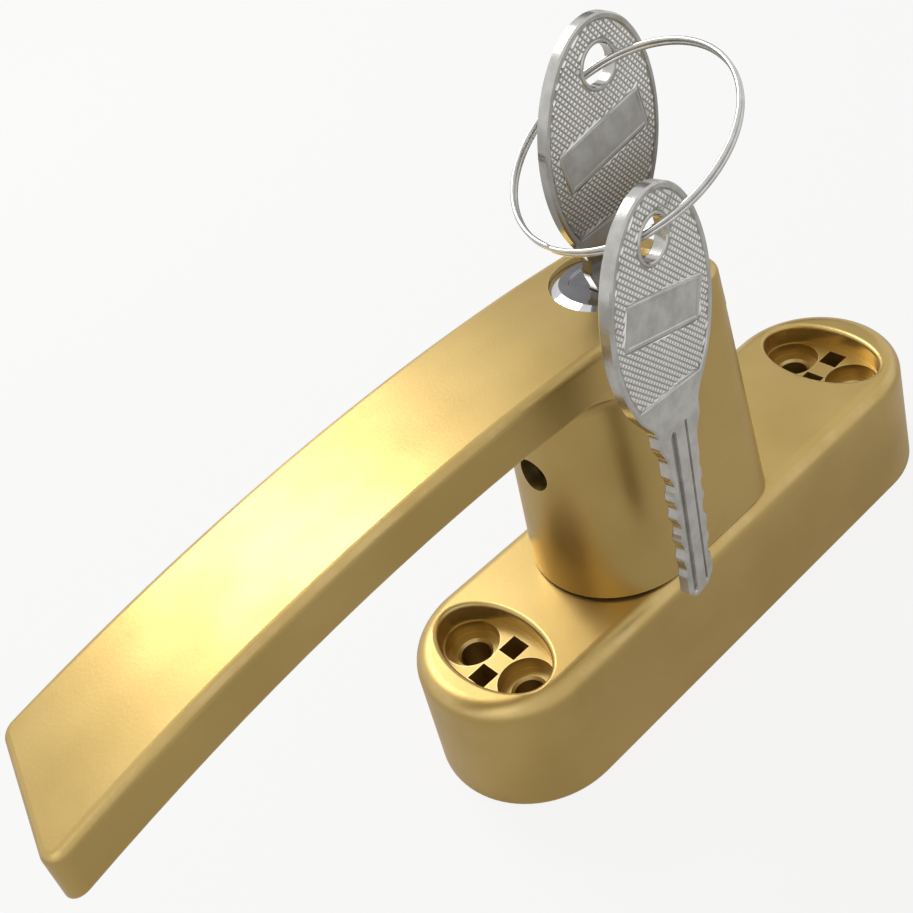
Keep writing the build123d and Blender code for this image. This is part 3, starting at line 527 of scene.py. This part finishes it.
def key_mesh(matrix):
    """Both faces of the key as relief over one plan, joined by its edges and by its eye."""
    outline = key_edge(1) + [(0.0, BOW_MIDDLE + BOW_HALF_HEIGHT)] + key_edge(-1)[::-1]
    plan, heights, tops, lines = [], [], [], []
    for loop, height in key_borders(outline):
        first = len(plan)
        plan += [Vector(point) for point in loop]
        heights += [height] * len(loop)
        tops += [0.0] * len(loop)
        lines += [(first + i, first + (i + 1) % len(loop)) for i in range(len(loop))]
    valleys = {}
    for (i, j), point in knurl_points().items():
        if i % 2 == 0:
            valleys[i, j] = len(plan)
        plan.append(Vector(point))
        heights.append(KNURL_TOP if i % 2 else -KNURL_DEPTH)
        tops.append(1.0 if i % 2 else 0.0)
    for (i, j), index in valleys.items():
        lines += [(index, valleys[near]) for near in ((i + 2, j), (i, j + 2)) if near in valleys]
    flat, _, faces, sources, _, _ = delaunay_2d_cdt(plan, lines, [], 1, 1e-6)
    level = [heights[source[0]] if source else 0.0 for source in sources]
    raised = [tops[source[0]] if source else 0.0 for source in sources]
    sunk = [1.0 if height in (-KNURL_DEPTH, -GROOVE_DEPTH) else 0.0 for height in level]
    index_of = {source: index for index, found in enumerate(sources) for source in found}
    places, polygons = [], []
    for side in (-1, 1):
        for point, height in zip(flat, level):
            places.append((point.x * MM, side * (KEY_HALF_THICK + height) * MM, point.y * MM))
    count = len(flat)
    for face in faces:
        middle = sum((flat[i] for i in face), Vector((0, 0))) / len(face)
        if math.hypot(middle.x, middle.y - EYE_HEIGHT) > EYE_RADIUS * 0.995:
            polygons += [tuple(face), tuple(count + i for i in reversed(face))]
    for first, length in ((0, len(outline)), (2 * len(outline), EYE_SIDES)):
        for i in range(length):
            a, b = index_of[first + i], index_of[first + (i + 1) % length]
            polygons.append((a, b, count + b, count + a))
    mesh = bpy.data.meshes.new("key")
    mesh.from_pydata(places, [], polygons)
    share_map(mesh, "knurl_top", raised * 2)
    share_map(mesh, "sunk", sunk * 2)
    mesh.transform(matrix)
    work = bmesh.new()
    work.from_mesh(mesh)
    bmesh.ops.recalc_face_normals(work, faces=work.faces)
    work.to_mesh(mesh)
    work.free()
    mesh.polygons.foreach_set("use_smooth", [True] * len(mesh.polygons))
    mesh.set_sharp_from_angle(angle=math.radians(28))
    return mesh


NICKEL = (0.55, 0.54, 0.515, 1)
NICKEL_HAZY = (0.42, 0.41, 0.385, 1)
# Paler nickel for the knurl tops: rubbing, and a painted highlight on them.
NICKEL_RUBBED_AND_LIT = (0.82, 0.81, 0.775, 1)
# Darker nickel for the knurl valleys and groove floors: grime, and painted shade there.
GRIME_AND_SHADE = (0.36, 0.35, 0.32, 1)
# Painted shade: the keys are darkened towards the lock below a height, strongly on the key in the lock.
PAINTED_LOW_SHADE = (0.13, 0.115, 0.09, 1)
SHADE_FADE = 17 * MM


def nickel_plate(name, low_shade, shade_top):
    """Nickel, paler on its knurl tops from rubbing and a painted highlight, darker in its valleys from
    grime and painted shade, and darkened below a height by a painted shade.
    """
    def look(start):
        haze = start.noise(350.0, 4.0, 0.6)
        top, sunk = (start.node("ShaderNodeAttribute", {"attribute_name": kind}, out="Fac")
                     for kind in ("knurl_top", "sunk"))
        # Darker in the sunk valleys and grooves: grime and painted shade.
        grime_and_shade = sunk.over(0.45, 1.0) * (0.55 + haze * 0.5)
        # Paler on the knurl tops from rubbing and a painted highlight, and paler along edges from rubbing.
        rubbed = top.over(0.05, 0.65) + start.edges(0.15 * MM) * 0.3
        plate = rubbed.over(0.0, 1.0).mixed(haze.over(0.3, 0.7).mixed(NICKEL, NICKEL_HAZY), NICKEL_RUBBED_AND_LIT)
        # Painted shade, darker below a height, towards the lock.
        height = start.place().along("Z")
        painted_shade_below = (1 - height.over(shade_top - SHADE_FADE, shade_top)) * low_shade
        return {"Base Color": painted_shade_below.mixed(grime_and_shade.mixed(plate, GRIME_AND_SHADE), PAINTED_LOW_SHADE),
                "Roughness": 0.15 + start.noise(1050.0, 3.0, 0.6) * 0.10 + grime_and_shade * 0.2 + top * 0.13,
                "Normal": start.noise(1750.0).bump(0.12, 0.03 * MM),
                "Metallic": 1.0}
    return finish_of(name, look)


def place_key(name, node, body, finish, matrix):
    """Makes one of the two keys where its CAD node is."""
    piece = bpy.data.objects.new(name, key_mesh(matrix))
    piece.data.materials.append(finish)
    bpy.context.scene.collection.objects.link(piece)
    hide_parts(node)
    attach(piece, body)


LOCK_LEAN = math.radians(8.5)
LOCK_FACE = Vector((-2.6, 0, 60.68446)) * MM
SPARE_EYE = Vector((-15.0, -21.4, 80.5)) * MM
SPARE_YAW = math.radians(9)
SPARE_LEAN = math.radians(3)
# Heights below which the keys get their painted shade.
LOCK_SHADE_TOP = 86 * MM
SPARE_SHADE_TOP = 30 * MM

place_key("key_in_the_lock", "key_in_lock", "key", nickel_plate("nickel_in_lock", 0.75, LOCK_SHADE_TOP),
          Matrix.Translation(LOCK_FACE) @ Matrix.Rotation(LOCK_LEAN, 4, "Y"))
place_key("key_on_the_ring", "spare_key", "hanging_key", nickel_plate("nickel_spare", 0.2, SPARE_SHADE_TOP),
          Matrix.Translation(SPARE_EYE) @ Matrix.Rotation(SPARE_YAW, 4, "Z")
          @ Matrix.Rotation(SPARE_LEAN, 4, "Y") @ Matrix.Rotation(math.pi, 4, "Z")
          @ Matrix.Translation((0, 0, -EYE_HEIGHT * MM)))

# Key ring: sprung steel wire wound two turns into a split ring, nickel plated. Halfway round
# the wire steps across from one turn to the other.

RING_TOP = Vector((2.168225, 0, 88.074704)) * MM
RING_LOW = Vector((-15.0, -21.4, 81.1)) * MM
RING_WRAP = Vector((-0.90, 0, -0.43))
RING_START = 0.9
RING_WIRE = 0.30 * MM
RING_GAP = 1.02
RING_CROSSING = (0.94, 1.06)
RING_STEPS = 180
RING_SIDES = 12


def split_ring():
    """Two turns of wire side by side, in the plane through both eyes."""
    across = (RING_LOW - RING_TOP).normalized()
    normal = across.cross(RING_WRAP).normalized()
    up_side = normal.cross(across)
    middle, radius = (RING_LOW + RING_TOP) / 2, (RING_LOW - RING_TOP).length / 2
    path = []
    for step in range(2 * RING_STEPS + 1):
        turn = step / RING_STEPS
        angle = 2 * math.pi * turn + RING_START
        offset = (2 * smooth(turn, *RING_CROSSING) - 1) * RING_WIRE * RING_GAP
        around = (across * math.cos(angle) + up_side * math.sin(angle)) * radius
        path.append(middle + around + normal * offset)
    return tube("split_ring", path, RING_WIRE, RING_SIDES)


ring_piece = bpy.data.objects.new("split_key_ring", split_ring())
ring_piece.data.materials.append(metal("ring_nickel", (0.62, 0.61, 0.59, 1), (0.50, 0.49, 0.47, 1),
                                       0.12, 0.24, 500.0, wear=0.1))
bpy.context.scene.collection.objects.link(ring_piece)
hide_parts("key_ring")
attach(ring_piece, "ring")

# Studio: a pale floor under the base, and soft light from a large window behind the part
# with a weak fill from the left. A grey card out of the picture gives the chrome its dark side.

CAMERA_PLACE = (-0.0918, -0.1038, 0.1508)
CAMERA_LOOK = Vector((0.3793, 0.6735, -0.6346)).normalized()
CAMERA_UP = Vector((0.5808, 0.3657, 0.7273))
CAMERA_LENS = 48.5
FLOOR_SEEN_WHITE = 0.86
FLOOR_MIRRORED_WHITE = 0.30
WALLS_SEEN_WHITE = 0.9
WALLS_MIRRORED_WHITE = 1.0
WALLS_LIGHT = 0.35
WINDOW_WATTS = 1.7
FILL_WATTS = 0.38

camera_data = bpy.data.cameras.new("photo_camera")
camera_data.lens = CAMERA_LENS
camera_data.sensor_width = 36
camera_data.clip_start = 0.01
camera = bpy.data.objects.new("photo_camera", camera_data)
bpy.context.scene.collection.objects.link(camera)
camera_side = CAMERA_LOOK.cross(CAMERA_UP).normalized()
camera_turn = Matrix((camera_side, camera_side.cross(CAMERA_LOOK), -CAMERA_LOOK)).transposed()
camera.matrix_world = Matrix.Translation(CAMERA_PLACE) @ camera_turn.to_4x4()
bpy.context.scene.camera = camera


def flat_sheet(name, half_length, half_width):
    """A flat oblong that isn't part of the object."""
    mesh = bpy.data.meshes.new(name)
    mesh.from_pydata([(-half_length, -half_width, 0), (half_length, -half_width, 0),
                      (half_length, half_width, 0), (-half_length, half_width, 0)], [], [(0, 1, 2, 3)])
    sheet = bpy.data.objects.new(name, mesh)
    bpy.context.scene.collection.objects.link(sheet)
    return sheet


def seen_white(start, camera_share, mirror_share):
    """How much of a ray shows the plain white background, by the kind of ray."""
    seen, glossy, through = (start.node("ShaderNodeLightPath", out=kind)
                             for kind in ("Is Camera Ray", "Is Glossy Ray", "Is Transmission Ray"))
    return seen * camera_share + (glossy + through) * mirror_share


paper = bpy.data.materials.new("floor_paper")
paper.use_nodes = True
paper.node_tree.nodes.clear()
sheet_start = Wire(paper.node_tree)
pale = sheet_start.noise(3.0).mixed((0.80, 0.79, 0.77, 1), (0.83, 0.82, 0.80, 1))
matt = sheet_start.node("ShaderNodeBsdfDiffuse", None, {"Color": pale})
white = sheet_start.node("ShaderNodeEmission", None, {"Color": (1, 1, 1, 1), "Strength": 1.0})
floor_share = seen_white(sheet_start, FLOOR_SEEN_WHITE, FLOOR_MIRRORED_WHITE)
both = sheet_start.node("ShaderNodeMixShader", None, {0: floor_share, 1: matt, 2: white})
sheet_start.node("ShaderNodeOutputMaterial", None, {"Surface": both})

floor = flat_sheet("floor", 3.0, 3.0)
floor.location.z = -0.2 * MM
floor.data.materials.append(paper)

room = bpy.data.worlds.new("studio")
room.use_nodes = True
room.node_tree.nodes.clear()
room_start = Wire(room.node_tree)
dim = room_start.node("ShaderNodeBackground", None, {"Color": (1, 0.98, 0.95, 1), "Strength": WALLS_LIGHT})
bright = room_start.node("ShaderNodeBackground", None, {"Color": (1, 1, 1, 1), "Strength": 1.0})
walls_share = seen_white(room_start, WALLS_SEEN_WHITE, WALLS_MIRRORED_WHITE)
walls = room_start.node("ShaderNodeMixShader", None, {0: walls_share, 1: dim, 2: bright})
room_start.node("ShaderNodeOutputWorld", None, {"Surface": walls})
bpy.context.scene.world = room


def soft_light(name, place, target, size, watts):
    """A square soft lamp that faces a point."""
    lamp = bpy.data.lights.new(name, "AREA")
    lamp.shape = "SQUARE"
    lamp.size = size
    lamp.energy = watts
    holder = bpy.data.objects.new(name, lamp)
    holder.location = place
    holder.rotation_euler = (Vector(target) - Vector(place)).to_track_quat("-Z", "Y").to_euler()
    bpy.context.scene.collection.objects.link(holder)


soft_light("window_light", (0.0, 0.45, 0.50), (-0.04, 0, 0.05), 0.30, WINDOW_WATTS)
soft_light("left_fill", (-0.5, -0.15, 0.45), (0, 0, 0.03), 0.4, FILL_WATTS)


def card_grey(start):
    """Dark at one end of the card and pale at the other."""
    across = start.place().along("X").over(-0.10, 0.12)
    tones = across.mixed((0.06, 0.06, 0.065, 1), (0.95, 0.96, 1.0, 1))
    return {"Base Color": tones, "Roughness": 0.9, "Metallic": 0.0}


card = flat_sheet("grey_card", 0.13, 0.09)
card.location = (0.35, 0.33, 0.24)
card.rotation_euler = Vector((0.68, 0.63, 0.34)).to_track_quat("Z", "Y").to_euler()
card.data.materials.append(finish_of("grey_card", card_grey))
card.visible_camera = False
card.visible_diffuse = False
card.visible_shadow = False

bpy.context.scene.view_settings.view_transform = "Standard"
